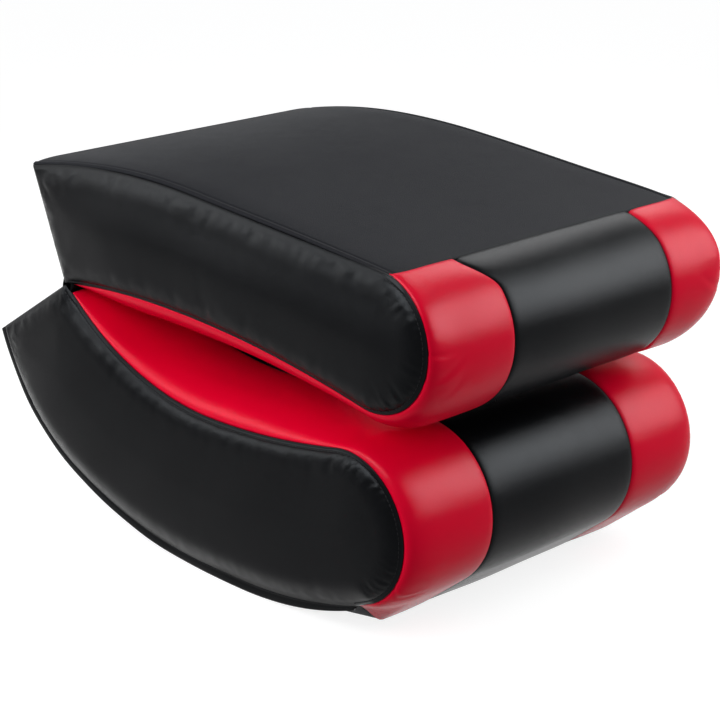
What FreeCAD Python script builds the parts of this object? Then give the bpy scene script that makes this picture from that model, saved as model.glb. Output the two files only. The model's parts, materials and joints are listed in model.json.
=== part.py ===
import FreeCAD, Part
import math
import os

# Folding floor rocker chair, shown folded: the back half lies over the seat half.
# Millimetres. X runs across the chair, -Y is forward, Z is up, and the floor is Z = 0.
# Side outlines are written as (forward, up) pairs, with forward = -Y.

V = FreeCAD.Vector

# Overall width and the crown of the covers
half_width = 205.0          # centre to the side seam
crown_run = 35.0            # distance from the side seam over which the crown fills out
crown_steps = 4
side_bulge = 15.0           # how far a side cover stands out from its seam
side_run = 34.0             # how far in from the seam the bulge is full
side_steps = 5

# Skins and boards
cover = 1.5
hardboard = 2.5
plywood = 12.0
fit = 0.2                   # clearance between pieces that lie on each other
snug = 0.1                  # the same between filling and cover
strap_thickness = 2.0
strap_width = 50.0
strap_pitch = 75.0          # at least this much of the deck for each strap

# Knee: the fold's axis and the two end faces that meet when the chair is open
knee = (-215.0, 268.0)
seat_end_angle = 212.0      # direction of the seat's end face from the knee, degrees
back_end_angle = 112.0      # the same for the back, folded
end_gap = 0.5               # each end face stands this far from the meeting plane

# Seat outline at the side seam, and how much the crown adds in the middle
seat_dip = (25.0, 176.0)
seat_dip_crown = 16.0
seat_nose = (221.0, 118.0)
seat_nose_radius = 78.0
seat_nose_crown = (12.0, 2.0)
seat_nose_radius_crown = 8.0

# Rocker base
flat_rear = 14.0            # the flat that the folded chair stands on
flat_front = 64.0
rocker_radius = 560.0
heel_radius = 239.5         # tighter curve up to the rear
heel_start = 227.0          # behind the flat's rear edge
flange = 11.0               # height of the sewn flange below the side seam
flange_thickness = 2.5
base_front_run = 15.0       # front end of the base at the side seam, ahead of the nose's centre
base_front_drop = 2.0       # and below the nose's lowest point
base_front = (seat_nose[0] + base_front_run, seat_nose[1] - seat_nose_radius - base_front_drop)
base_front_crown = 25.0
flange_front_step = (-6.0, -7.0)    # the flange ends this far from there

# Back outline, folded
back_arch = (-75.0, 278.0)
back_arch_crown = -16.0
back_nose = (257.0, 314.0)
back_nose_radius = 71.0
back_nose_crown = (5.0, -8.0)
back_nose_radius_crown = 9.0
panel_crest = (-80.0, 409.0)
panel_crest_crown = 4.0
panel_radius = 950.0
panel_front_angle = 73.0    # where the panel's edge lies on the nose, degrees
panel_flange = 1.5          # how far the panel's sewn flange stands out sideways

# Underside of the foam: the frame fills the space within these corners
seat_deck = [(-130.0, 176.0), (25.0, 138.0), (252.0, 142.0)]
seat_toe = (262.0, 72.0)
back_deck = [(-150.0, 310.0), (190.0, 300.0), (278.0, 290.0)]
back_toe = (290.0, 345.0)
deck_start = 12.0           # from the knee, along the end face

# Colour bands across the width
seat_band_left = -101.5
seat_band_right = 108.5
back_band_left = -101.5
back_band_right = 131.0

# Frame rails and blocks
rail_width = 45.0
rail_thickness = 20.0
hinge_rail_start = 15.0     # from the knee, along the end face
rear_rail_width = 36.0
seat_rear_rail_start = 88.0
back_rear_rail_start = 76.0
front_rail_height = 60.0
front_rail_setback = 14.0   # behind the frame's toe
top_rail_lift = 13.0        # above the deck's last corner
block_size = 25.0
screw_radius = 2.0
screw_length = 38.0
screw_head_radius = 3.8
screw_fit = 0.1
screw_edge = 11.0           # a screw's distance from the rail's edge

# Hinges
hinge_centres = [-100.0, 100.0]
hinge_width = 60.0
knuckle_width = 20.0
knuckle_gap = 0.3
barrel_radius = 4.0
pin_radius = 1.75
pin_fit = 0.05
pin_head_radius = 3.4
pin_head = 1.5
leaf_thickness = 2.0
leaf_height = 48.0
leaf_screw_radius = 1.8
leaf_screw_length = 16.0
leaf_head_radius = 3.2
leaf_head_depth = 1.4
leaf_screw_spread = 20.0
leaf_screw_reach = 40.0     # from the knee, along the leaf

# Knee flap: a gutter of cover material round the hinge, fixed to the seat
channel_radius = 7.3
flap_inner = 5.2
flap_outer = 7.0
flap_start_angle = 284.0
flap_end_angle = 362.0


def add(a, b, scale=1.0):
    return (a[0] + scale * b[0], a[1] + scale * b[1])


def minus(a, b):
    return (a[0] - b[0], a[1] - b[1])


def length(a):
    return math.hypot(a[0], a[1])


def unit(a):
    return (a[0] / length(a), a[1] / length(a))


def dot(a, b):
    return a[0] * b[0] + a[1] * b[1]


def cross(a, b):
    return a[0] * b[1] - a[1] * b[0]


def heading(degrees):
    return (math.cos(math.radians(degrees)), math.sin(math.radians(degrees)))


def place(point, across):
    return V(across, -point[0], point[1])


def line(start, end):
    return {"centre": None, "start": start, "end": end}


def arc(centre, start, end):
    return {"centre": centre, "start": start, "end": end}


def tangent(piece, at):
    """Direction of travel at the start or the end of a line or arc."""
    if piece["centre"] is None:
        return unit(minus(piece["end"], piece["start"]))
    radial = unit(minus(piece[at], piece["centre"]))
    turn = cross(minus(piece["start"], piece["centre"]), minus(piece["end"], piece["centre"]))
    return (-radial[1], radial[0]) if turn > 0 else (radial[1], -radial[0])


def inward(direction, side):
    """Normal towards the inside: on the right of travel for side 1, on the left for side -1."""
    return (side * direction[1], -side * direction[0])


def inset(outline, depth, side):
    """The closed outline moved inwards, its corners mitred."""
    moved = []
    for index, piece in enumerate(outline):
        before = outline[index - 1]
        after = outline[(index + 1) % len(outline)]
        ends = []
        for here, at, other, other_at in ((piece, "start", before, "end"),
                                          (piece, "end", after, "start")):
            first = inward(tangent(here, at), side)
            second = inward(tangent(other, other_at), side)
            mitre = depth / (1.0 + dot(first, second))
            ends.append(add(piece[at], add(first, second), mitre))
        copy = {"centre": piece["centre"], "start": ends[0], "end": ends[1]}
        if piece["centre"] is not None:
            middle = arc_middle(piece)
            radial = unit(minus(middle, piece["centre"]))
            out = dot(radial, inward(middle_tangent(piece), side))
            copy["middle"] = add(middle, radial, depth * out)
        moved.append(copy)
    return moved


def arc_middle(piece):
    if "middle" in piece:
        return piece["middle"]
    first = minus(piece["start"], piece["centre"])
    second = minus(piece["end"], piece["centre"])
    return add(piece["centre"], unit(add(first, second)), length(first))


def middle_tangent(piece):
    radial = unit(minus(arc_middle(piece), piece["centre"]))
    turn = cross(minus(piece["start"], piece["centre"]), minus(piece["end"], piece["centre"]))
    return (-radial[1], radial[0]) if turn > 0 else (radial[1], -radial[0])


def backwards(pieces):
    turned = []
    for piece in reversed(pieces):
        copy = dict(piece)
        copy["start"], copy["end"] = piece["end"], piece["start"]
        turned.append(copy)
    return turned


def joined(*runs):
    """One closed ring out of runs of pieces, with straight lines across the gaps."""
    ring = []
    for run in runs:
        if ring:
            ring.append(line(ring[-1]["end"], run[0]["start"]))
        ring.extend(run)
    ring.append(line(ring[-1]["end"], ring[0]["start"]))
    return [piece for piece in ring if length(minus(piece["end"], piece["start"])) > 1e-4]


def chain(points):
    return [line(a, b) for a, b in zip(points, points[1:])]


def wire(ring, across):
    edges = []
    for piece in ring:
        start = place(piece["start"], across)
        end = place(piece["end"], across)
        if piece["centre"] is None:
            edges.append(Part.LineSegment(start, end).toShape())
        else:
            edges.append(Part.Arc(start, place(arc_middle(piece), across), end).toShape())
    return Part.Wire(edges)


def loft(rings, across):
    return Part.makeLoft([wire(ring, x) for ring, x in zip(rings, across)], True, True)


def prism(ring, low, high):
    return Part.Face(wire(ring, low)).extrude(V(high - low, 0, 0))


def fullness(across):
    """0 at the side seam, 1 where the crown is full."""
    beyond = max(0.0, abs(across) - (half_width - crown_run))
    return math.sqrt(max(0.0, 1.0 - (beyond / crown_run) ** 2))


def stations(low, high):
    """Places across the width where sections are drawn, from low to high."""
    marks = {low, high}
    for step in range(crown_steps + 1):
        x = half_width - crown_run * (1.0 - math.sin(math.pi / 2 * step / crown_steps))
        marks.update(m for m in (x, -x) if low < m < high)
    return sorted(marks)


def swept(section, low, high):
    marks = stations(low, high)
    return loft([section(fullness(x)) for x in marks], marks)


def level_arc(level, other):
    """Arc between two points, level at the first."""
    across, up = minus(other, level)
    radius = (across ** 2 + up ** 2) / (2.0 * up)
    return (level[0], level[1] + radius)


def dish_touch(level, nose, radius, sign):
    """Centre of the arc that starts level and runs into the nose circle, and where they touch."""
    run = nose[0] - level[0]
    rise = sign * (level[1] - nose[1])
    sweep = (run ** 2 + rise ** 2 - radius ** 2) / (2.0 * (radius - rise))
    centre = (level[0], level[1] + sign * sweep)
    touch = add(nose, unit(minus(centre, nose)), radius)
    return centre, touch


def tangent_point(centre, radius, point, side):
    """Where a line from the point touches the circle, on the given side."""
    away = minus(point, centre)
    angle = math.atan2(away[1], away[0]) + side * math.acos(radius / length(away))
    return add(centre, (math.cos(angle), math.sin(angle)), radius)


class End:
    """End face of one half: a plane through the knee, seen from inside the half."""

    def __init__(self, degrees, turn):
        self.along = heading(degrees)
        self.into = heading(degrees + turn * 90.0)

    def at(self, distance, depth):
        return add(add(knee, self.along, distance), self.into, depth)

    def meets(self, centre, radius):
        start = minus(self.at(0.0, end_gap), centre)
        half = dot(start, self.along)
        return self.at(-half + math.sqrt(half ** 2 - dot(start, start) + radius ** 2), end_gap)


seat_end = End(seat_end_angle, 1)
back_end = End(back_end_angle, -1)


def base_run(lift, front):
    """Rocker line from the front end to the heel, lifted by the flange's height or less."""
    front_level = (flat_front, lift)
    rear_level = (flat_rear, lift)
    main = (flat_rear, rocker_radius)
    slope = heel_start / rocker_radius
    back_up = (-slope, -math.sqrt(1.0 - slope ** 2))
    heel = add(main, back_up, rocker_radius - heel_radius)
    change = add(heel, back_up, heel_radius - lift)
    tail = seat_end.meets(heel, heel_radius - lift)
    return [arc(level_arc(front_level, front), front, front_level),
            line(front_level, rear_level),
            arc(main, rear_level, change),
            arc(heel, change, tail)]


def seat_outline(full):
    """Runs face, nose, base and end, clockwise with forward to the right."""
    start = seat_end.at(0.0, end_gap)
    dip = (seat_dip[0], seat_dip[1] + seat_dip_crown * full)
    nose = add(seat_nose, seat_nose_crown, full)
    radius = seat_nose_radius + seat_nose_radius_crown * full
    centre, touch = dish_touch(dip, nose, radius, 1)
    foot = (base_front[0], base_front[1] - base_front_crown * full)
    chin = tangent_point(nose, radius, foot, 1)
    tip = add(nose, (1.0, 0.0), radius)
    base = base_run(flange * (1.0 - full), foot)
    return [arc(level_arc(dip, start), start, dip), arc(centre, dip, touch),
            arc(nose, touch, tip), arc(nose, tip, chin), line(chin, foot)
            ] + base + [line(base[-1]["end"], start)]


def back_outline(full):
    """Runs face, nose, panel and end, anticlockwise with forward to the right."""
    start = back_end.at(0.0, end_gap)
    arch = (back_arch[0], back_arch[1] + back_arch_crown * full)
    nose = add(back_nose, back_nose_crown, full)
    radius = back_nose_radius + back_nose_radius_crown * full
    centre, touch = dish_touch(arch, nose, radius, -1)
    tip = add(nose, (1.0, 0.0), radius)
    brow = add(nose, heading(panel_front_angle), radius)
    bow = (panel_crest[0], panel_crest[1] + panel_crest_crown * full - panel_radius)
    leave = tangent_point(bow, panel_radius, brow, 1)
    tail = back_end.meets(bow, panel_radius)
    return [arc(level_arc(arch, start), start, arch), arc(centre, arch, touch),
            arc(nose, touch, tip), arc(nose, tip, brow),
            line(brow, leave), arc(bow, leave, tail), line(tail, start)]


class Half:
    """One half of the chair: its outline, where its runs begin, and its frame's corners."""

    def __init__(self, name, outline, side, skin_from, end, deck, toe, bands):
        self.name = name
        self.outline = outline
        self.side = side
        self.skin_from = skin_from      # index of the first piece of the base or panel
        self.end = end
        self.deck = deck
        self.toe = toe
        self.bands = bands

    def inside(self, full, depth):
        return inset(self.outline(full), depth, self.side)

    def deck_corners(self, depth):
        return [self.end.at(deck_start, end_gap + depth)] + self.deck


seat = Half("seat", seat_outline, 1, 5, seat_end, seat_deck, seat_toe,
            (seat_band_left, seat_band_right))
back = Half("back", back_outline, -1, 4, back_end, back_deck, back_toe,
            (back_band_left, back_band_right))

filling = cover + snug
frame_depth = cover + fit + hardboard + fit
board_inner = half_width - crown_run - plywood
board_outer = half_width - crown_run
foam_outer = half_width - flange_thickness - fit


def knee_bore(radius, low, high):
    return Part.makeCylinder(radius, high - low, place(knee, low), V(1, 0, 0))


def clear_of_knee(shape):
    reach = half_width + 2 * side_bulge
    return shape.cut(knee_bore(channel_radius, -reach, reach))


def face_cover(half, low, high):
    """Strip of cover from the knee over the face and round the nose."""
    def section(full):
        outer = half.outline(full)[:half.skin_from]
        inner = half.inside(full, cover)[:half.skin_from]
        return joined(outer, backwards(inner))
    return clear_of_knee(swept(section, low, high))


def sole_cover(half):
    """Cover of the base or of the back panel, without its flanges."""
    def section(full):
        outer = half.outline(full)[half.skin_from:-1]
        inner = half.inside(full, cover)[half.skin_from:-1]
        return joined(outer, backwards(inner))
    return swept(section, -half_width, half_width)


def end_cover(half):
    def section(full):
        outer = [half.outline(full)[-1]]
        inner = [half.inside(full, cover)[-1]]
        return joined(outer, backwards(inner))
    return clear_of_knee(swept(section, -half_width, half_width))


def seat_flange(side):
    """Sewn flange that hangs from the side seam to the floor."""
    outer = base_run(0.0, add(base_front, flange_front_step))
    inner = seat.inside(0.0, cover - fit)[seat.skin_from:-1]
    ring = joined(outer, backwards(inner))
    low, high = sorted((side * (half_width - flange_thickness), side * half_width))
    return prism(ring, low, high)


def back_flange(side):
    """Sewn flange that stands out sideways from the panel's edge."""
    seam = back.outline(0.0)
    seam_run = seam[back.skin_from:-1]
    raised = inset(seam, -flange_thickness, back.side)[back.skin_from:-1]
    raised[-1] = dict(raised[-1], end=back_end.at(
        dot(minus(raised[-1]["end"], knee), back_end.along), end_gap))
    ring = joined(raised, backwards(seam_run))
    low, high = sorted((side * (half_width - flange_thickness),
                        side * (half_width + panel_flange)))
    return prism(ring, low, high)


def face_foam(half):
    def section(full):
        run = half.inside(full, filling)[:2]
        return joined(run, chain(list(reversed(half.deck_corners(filling)))))
    foam = clear_of_knee(swept(section, -foam_outer, foam_outer))
    return foam.cut([leaf_plate(half, centre, snug) for centre in hinge_centres])


def nose_foam(half):
    def section(full):
        run = half.inside(full, filling)[2:half.skin_from]
        return joined(run, chain([half.toe, half.deck[-1]]))
    return swept(section, -foam_outer, foam_outer)


def pad_block(half, side):
    """Filling beside the frame, below the face foam."""
    def section(full):
        run = half.inside(full, filling)[half.skin_from:-1]
        return joined(run, chain(half.deck_corners(filling) + [half.toe]))
    low, high = sorted((side * board_outer, side * foam_outer))
    return swept(section, low, high)


def pillow(half, side, thinner):
    """Rounded bulge of a side; the filling's starts inside the seam, the cover's at the seam."""
    rings = [half.inside(0.0, thinner)] if thinner else []
    across = [side * foam_outer] if thinner else []
    for step in range(side_steps + 1):
        turn = math.pi / 2 * step / side_steps
        depth = thinner + (side_run - thinner) * (1.0 - math.cos(turn))
        rings.append(half.inside(0.0, depth))
        across.append(side * (half_width + (side_bulge - thinner) * math.sin(turn)))
    return loft(rings, across)


def side_pad(half, side):
    return clear_of_knee(pad_block(half, side).fuse(pillow(half, side, filling)).removeSplitter())


def side_cover(half, side):
    shape = pillow(half, side, 0.0).cut(pillow(half, side, cover))
    return clear_of_knee(shape)


def frame_ring(half):
    """Outline of a side board: straps above it, hardboard below it."""
    run = half.inside(1.0, frame_depth)[half.skin_from:-1]
    rough = joined(run, chain(half.deck_corners(frame_depth) + [half.toe]))
    top = inset(rough, strap_thickness + fit, half.side)
    corners = [piece["start"] for piece in top[-len(half.deck) - 1:]]
    lean = cross(half.end.along, unit(minus(half.deck[0], half.end.at(deck_start, 0.0))))
    start = half.end.at(deck_start + (strap_thickness + fit) / abs(lean), end_gap + frame_depth)
    return joined(run, chain([start] + corners))


def side_board(half, side):
    low, high = sorted((side * board_inner, side * board_outer))
    return prism(frame_ring(half), low, high)


def skin_board(half):
    """Bent hardboard between the frame and the base or panel cover."""
    outer = half.inside(1.0, cover + fit)[half.skin_from:-1]
    inner = half.inside(1.0, cover + fit + hardboard)[half.skin_from:-1]
    return prism(joined(outer, backwards(inner)), -board_outer, board_outer)


def straps(half):
    """Webbing over the tops of the side boards, as many as each straight stretch takes."""
    shapes = []
    corners = half.deck_corners(filling)
    for start, end in zip(corners, corners[1:]):
        span = length(minus(end, start))
        count = max(1, int(span // strap_pitch))
        along = unit(minus(end, start))
        down = inward(along, half.side)
        for index in range(count):
            middle = add(start, along, span * (index + 0.5) / count)
            ring = box_ring(add(add(middle, along, -strap_width / 2), down, fit / 2),
                            along, strap_width, down, strap_thickness)
            shapes.append(prism(ring, -board_outer, board_outer))
    return shapes


def box_ring(corner, along, width, across, thickness):
    b = add(corner, along, width)
    c = add(b, across, thickness)
    d = add(corner, across, thickness)
    return chain([corner, b, c, d, corner])


def screw(point, direction, radius, long, head_radius, head_depth):
    """Countersunk screw whose head lies flush at the point."""
    shank = Part.makeCylinder(radius, long, point, direction)
    head = Part.makeCone(head_radius, radius, head_depth, point, direction)
    return shank.fuse(head).removeSplitter()


def end_rails(half, rear_start):
    """Cross rails behind the end face: corner, direction, width, second direction, thickness."""
    depth = end_gap + frame_depth
    return {
        "hinge_rail": (half.end.at(hinge_rail_start, depth), half.end.along, rail_width,
                       half.end.into, rail_thickness),
        "rear_rail": (half.end.at(rear_start, depth), half.end.along, rear_rail_width,
                      half.end.into, rail_thickness)}


up = (0.0, 1.0)
forward = (1.0, 0.0)
crest_sag = (rail_width / 2) ** 2 / (2 * panel_radius) + fit

seat_rails = end_rails(seat, seat_rear_rail_start)
seat_rails["base_rail"] = ((flat_rear, frame_depth), forward, flat_front - flat_rear,
                           up, rail_thickness)
seat_rails["front_rail"] = ((seat_toe[0] - front_rail_setback - rail_thickness, seat_toe[1]),
                            forward, rail_thickness, up, front_rail_height)

back_rails = end_rails(back, back_rear_rail_start)
back_rails["middle_rail"] = (
    (panel_crest[0] - rail_width / 2,
     panel_crest[1] + panel_crest_crown - frame_depth - crest_sag - rail_thickness),
    forward, rail_width, up, rail_thickness)
back_rails["top_rail"] = (
    (back_toe[0] - front_rail_setback - rail_thickness, back_deck[-1][1] + top_rail_lift),
    forward, rail_thickness, up, rail_width)


def rail_screws(rail_list, larger):
    """Two screws through the side board into each end of each rail."""
    shapes = []
    head_depth = screw_head_radius - screw_radius
    for corner, along, width, across, thickness in rail_list.values():
        long_way, short_way = (along, across) if width >= thickness else (across, along)
        reach = max(width, thickness)
        for offset in (screw_edge, reach - screw_edge):
            point = add(add(corner, long_way, offset), short_way, min(width, thickness) / 2)
            for side in (-1, 1):
                head = place(point, side * board_outer)
                shapes.append(screw(head, V(-side, 0, 0), screw_radius + larger, screw_length + larger,
                                    screw_head_radius + larger, head_depth + larger))
    return shapes


def corner_blocks(half, rail_list):
    """Glue blocks between the end rails and the side boards."""
    shapes = []
    for name in ("hinge_rail", "rear_rail"):
        corner, along, width, across, thickness = rail_list[name]
        start = add(add(corner, across, thickness), along, (width - block_size) / 2)
        ring = box_ring(start, along, block_size, across, block_size)
        for side in (-1, 1):
            low, high = sorted((side * (board_inner - block_size), side * board_inner))
            shapes.append(prism(ring, low, high))
    return shapes


def knuckle(centre, slot, radius, wider):
    """Round of one of a hinge's three knuckles, slot -1, 0 or 1, from left to right."""
    middle = centre + slot * knuckle_width
    half_long = knuckle_width / 2 - knuckle_gap / 2 + wider
    return knee_bore(radius, middle - half_long, middle + half_long)


def leaf_depth():
    return end_gap + frame_depth - fit / 2 - leaf_thickness


def leaf_plate(half, centre, larger):
    ring = box_ring(half.end.at(leaf_thickness, leaf_depth() - larger), half.end.along,
                    leaf_height - leaf_thickness, half.end.into, leaf_thickness + 2 * larger)
    return prism(ring, centre - hinge_width / 2 - larger, centre + hinge_width / 2 + larger)


def hinge_leaf(half, centre, own_slots, other_slots):
    leaf = leaf_plate(half, centre, 0.0)
    leaf = leaf.fuse([knuckle(centre, slot, barrel_radius, 0.0) for slot in own_slots])
    leaf = leaf.cut([knuckle(centre, slot, barrel_radius + 2 * knuckle_gap, knuckle_gap)
                     for slot in other_slots])
    bore = knee_bore(pin_radius + pin_fit, centre - hinge_width, centre + hinge_width)
    return leaf.cut(bore).cut(leaf_screws(half, centre, screw_fit)).removeSplitter()


def leaf_screws(half, centre, larger):
    spot = half.end.at(leaf_screw_reach, leaf_depth())
    direction = V(0, -half.end.into[0], half.end.into[1])
    return [screw(place(spot, centre + side * leaf_screw_spread), direction,
                  leaf_screw_radius + larger, leaf_screw_length + larger,
                  leaf_head_radius + larger, leaf_head_depth + larger)
            for side in (-1, 0, 1)]


def hinge_pin(centre):
    ends = hinge_width / 2
    pin = knee_bore(pin_radius, centre - ends - pin_head, centre + ends + pin_head)
    heads = [knee_bore(pin_head_radius, centre - ends - pin_head, centre - ends),
             knee_bore(pin_head_radius, centre + ends, centre + ends + pin_head)]
    return pin.fuse(heads).removeSplitter()


def knee_flap():
    """Gutter of cover material under the fold, fixed to the seat."""
    def rim(radius, angle):
        return add(knee, heading(angle), radius)
    outer = arc(knee, rim(flap_outer, flap_start_angle), rim(flap_outer, flap_end_angle))
    inner = arc(knee, rim(flap_inner, flap_end_angle), rim(flap_inner, flap_start_angle))
    return prism(joined([outer], [inner]), -half_width, half_width)


def write(name, *shapes):
    solids = [solid for shape in shapes for solid in shape.Solids]
    whole = solids[0] if len(solids) == 1 else Part.makeCompound(solids)
    whole.exportStep("parts/" + name + ".step")
    print(name, len(solids), round(sum(solid.Volume for solid in solids)),
          "ok" if all(solid.isValid() for solid in solids) else "INVALID")


os.makedirs("parts", exist_ok=True)

for half, rail_list in ((seat, seat_rails), (back, back_rails)):
    left_band, right_band = half.bands
    holes = rail_screws(rail_list, screw_fit)
    write(half.name + "_cover_red_left", face_cover(half, -half_width, left_band))
    write(half.name + "_cover_black_centre", face_cover(half, left_band, right_band))
    write(half.name + "_cover_red_right", face_cover(half, right_band, half_width))
    write(half.name + "_end_cover", end_cover(half))
    write(half.name + "_face_foam", face_foam(half))
    write(half.name + "_nose_foam", nose_foam(half))
    for side, word in ((-1, "left"), (1, "right")):
        write(half.name + "_side_pad_" + word, side_pad(half, side))
        write(half.name + "_side_cover_" + word, side_cover(half, side))
        write(half.name + "_side_board_" + word, side_board(half, side).cut(holes))
    write(half.name + "_skin_board", skin_board(half))
    write(half.name + "_straps", *straps(half))
    write(half.name + "_corner_blocks", *corner_blocks(half, rail_list))
    write(half.name + "_frame_screws", *rail_screws(rail_list, 0.0))
    for hinge in hinge_centres:
        holes.extend(leaf_screws(half, hinge, screw_fit))
    for rail_name, rail_box in rail_list.items():
        rail = prism(box_ring(*rail_box), -board_inner, board_inner)
        write(half.name + "_" + rail_name, rail.cut(holes))
    write(half.name + "_leaf_screws", *[piece for hinge in hinge_centres
                                        for piece in leaf_screws(half, hinge, 0.0)])

write("seat_base_cover", sole_cover(seat).fuse([seat_flange(-1), seat_flange(1)]).removeSplitter())
write("back_panel_cover", sole_cover(back).fuse([back_flange(-1), back_flange(1)]).removeSplitter())
write("seat_hinge_leaves", *[hinge_leaf(seat, hinge, (-1, 1), (0,)) for hinge in hinge_centres])
write("back_hinge_leaves", *[hinge_leaf(back, hinge, (0,), (-1, 1)) for hinge in hinge_centres])
write("hinge_pins", *[hinge_pin(hinge) for hinge in hinge_centres])
write("knee_flap", knee_flap())
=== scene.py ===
import json
import math

import bpy
import numpy as np
from mathutils import Matrix, Vector
from mathutils.geometry import delaunay_2d_cdt
from mathutils.kdtree import KDTree


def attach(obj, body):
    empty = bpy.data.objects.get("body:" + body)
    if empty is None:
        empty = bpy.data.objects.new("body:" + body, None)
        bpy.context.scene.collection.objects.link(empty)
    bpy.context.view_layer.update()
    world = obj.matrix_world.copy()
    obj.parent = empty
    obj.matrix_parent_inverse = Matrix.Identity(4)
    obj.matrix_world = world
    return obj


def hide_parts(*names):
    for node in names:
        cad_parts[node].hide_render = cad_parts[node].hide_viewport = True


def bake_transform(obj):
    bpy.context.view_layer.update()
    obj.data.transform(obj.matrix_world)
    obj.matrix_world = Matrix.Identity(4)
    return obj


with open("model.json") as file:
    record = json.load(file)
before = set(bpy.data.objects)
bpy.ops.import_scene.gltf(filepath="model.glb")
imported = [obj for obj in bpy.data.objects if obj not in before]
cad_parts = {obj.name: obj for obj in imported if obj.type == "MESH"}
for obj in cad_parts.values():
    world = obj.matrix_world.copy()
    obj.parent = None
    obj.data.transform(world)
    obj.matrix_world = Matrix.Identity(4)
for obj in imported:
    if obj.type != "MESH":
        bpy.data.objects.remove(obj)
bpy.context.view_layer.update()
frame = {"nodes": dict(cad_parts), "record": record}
print("frame loaded,", len(frame["nodes"]), "nodes")

# Side outlines are complex numbers in metres: forward + up * 1j, with forward = -Y
chair = {
    "halfWidth": 0.205,  # centre to the side seam
    "crownRun": 0.035,   # the crown fills out over this much beside the seam
    "footRun": 0.036,    # and the foot under the seat's nose eases down over this much
    "knee": -0.215 + 0.268j,
    "endGap": 0.0005,
    "kneeClear": 0.0125,  # the face covers stop this far from the fold's axis
    "endClear": 0.0078,   # and the end covers this far
    "swell": 0.008,       # how far the stuffed sides lean out between sole and face
    "swellShift": 0.0083 + 0.0039j,  # and forward and up
    "endRun": 0.11,       # and this far from the end face
    "step": 0.0042,       # along the outlines
    "noseStep": 0.0024,
    "countedAt": 0.006,   # the steps are counted this far inward
}
halfWidth = chair["halfWidth"]
knee = chair["knee"]


def heading(degrees):
    return complex(math.cos(math.radians(degrees)), math.sin(math.radians(degrees)))


def dot(a, b):
    return (a * b.conjugate()).real


def unit(a):
    return a / abs(a)


def endPoint(form, distance, depth=chair["endGap"]):
    along = heading(form["endAngle"])
    into = along * 1j * form["endTurn"]
    return knee + along * distance + into * depth


def endMeets(form, centre, radius):
    start = endPoint(form, 0) - centre
    half = dot(start, heading(form["endAngle"]))
    return endPoint(form, -half + math.sqrt(half ** 2 - abs(start) ** 2 + radius ** 2))


def levelArc(level, other):
    away = other - level
    return level + 1j * abs(away) ** 2 / (2 * away.imag)


def dishTouch(level, nose, radius, sign):
    run = (nose - level).real
    rise = sign * (level - nose).imag
    sweep = (run ** 2 + rise ** 2 - radius ** 2) / (2 * (radius - rise))
    centre = level + sign * sweep * 1j
    return centre, nose + unit(centre - nose) * radius


def tangentPoint(centre, radius, point):
    away = point - centre
    turn = math.acos(radius / abs(away))
    return centre + unit(away) * complex(math.cos(turn), math.sin(turn)) * radius


seatForm = {
    "half": "seat",
    "endAngle": 212, "endTurn": 1, "side": 1, "facePieces": 5, "nosePieces": (2, 3),
    "dip": 0.025 + 0.176j, "dipCrown": 0.025j,
    "nose": 0.221 + 0.118j, "noseCrown": 0.012 + 0.002j,
    "noseRadius": 0.078, "noseRadiusCrown": 0.008,
    "flatRear": 0.014, "flatFront": 0.064,
    "rockerRadius": 0.56, "heelRadius": 0.2395, "heelStart": 0.227,
    "flange": 0.011, "foot": 0.236 + 0.038j, "footCrown": -0.025j,
    "flangeFront": 0.230 + 0.031j,
    "bands": (-0.1015, 0.1085), "swing": (0.0, 0.0), "seeds": {-1: 11, 1: 12},
    "soleRun": 0.030,    # the sides' lean is full this far from the sole
}
backForm = {
    "half": "back",
    "endAngle": 112, "endTurn": -1, "side": -1, "facePieces": 4, "nosePieces": (2, 3),
    "arch": -0.075 + 0.278j, "archCrown": -0.025j,
    "nose": 0.257 + 0.314j, "noseCrown": 0.005 - 0.008j,
    "noseRadius": 0.071, "noseRadiusCrown": 0.009,
    "crest": -0.08 + 0.409j, "crestCrown": 0.004j,
    "panelRadius": 0.95, "panelFrontAngle": 73,
    "bands": (-0.1015, 0.131), "swing": (-0.025, -0.006), "seeds": {-1: 13, 1: 14},
    "soleRun": 0.080,
}


# A piece of an outline is (centre or None, start, end)
def baseRun(lift, front):
    form = seatForm
    frontLevel = complex(form["flatFront"], lift)
    rearLevel = complex(form["flatRear"], lift)
    main = complex(form["flatRear"], form["rockerRadius"])
    slope = form["heelStart"] / form["rockerRadius"]
    backUp = complex(-slope, -math.sqrt(1 - slope ** 2))
    heel = main + backUp * (form["rockerRadius"] - form["heelRadius"])
    change = heel + backUp * (form["heelRadius"] - lift)
    tail = endMeets(form, heel, form["heelRadius"] - lift)
    return [(levelArc(frontLevel, front), front, frontLevel), (None, frontLevel, rearLevel),
            (main, rearLevel, change), (heel, change, tail)]


def easing(share):
    share = np.clip(share, 0, 1)
    return share * share * (3 - 2 * share)


def crowned(inward):
    beyond = max(0.0, chair["crownRun"] - inward)
    return math.sqrt(max(0.0, 1 - (beyond / chair["crownRun"]) ** 2))


# Outlines at a distance inward from the side seam
def seatOutline(inward):
    form = seatForm
    full = crowned(inward)
    start = endPoint(form, 0)
    dip = form["dip"] + form["dipCrown"] * full
    nose = form["nose"] + form["noseCrown"] * full
    radius = form["noseRadius"] + form["noseRadiusCrown"] * full
    centre, touch = dishTouch(dip, nose, radius, 1)
    foot = form["foot"] + form["footCrown"] * easing(inward / chair["footRun"])
    chin = tangentPoint(nose, radius, foot)
    base = baseRun(form["flange"] * (1 - full), foot)
    return [(levelArc(dip, start), start, dip), (centre, dip, touch),
            (nose, touch, nose + radius), (nose, nose + radius, chin), (None, chin, foot)
            ] + base + [(None, base[-1][2], start)]


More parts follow.
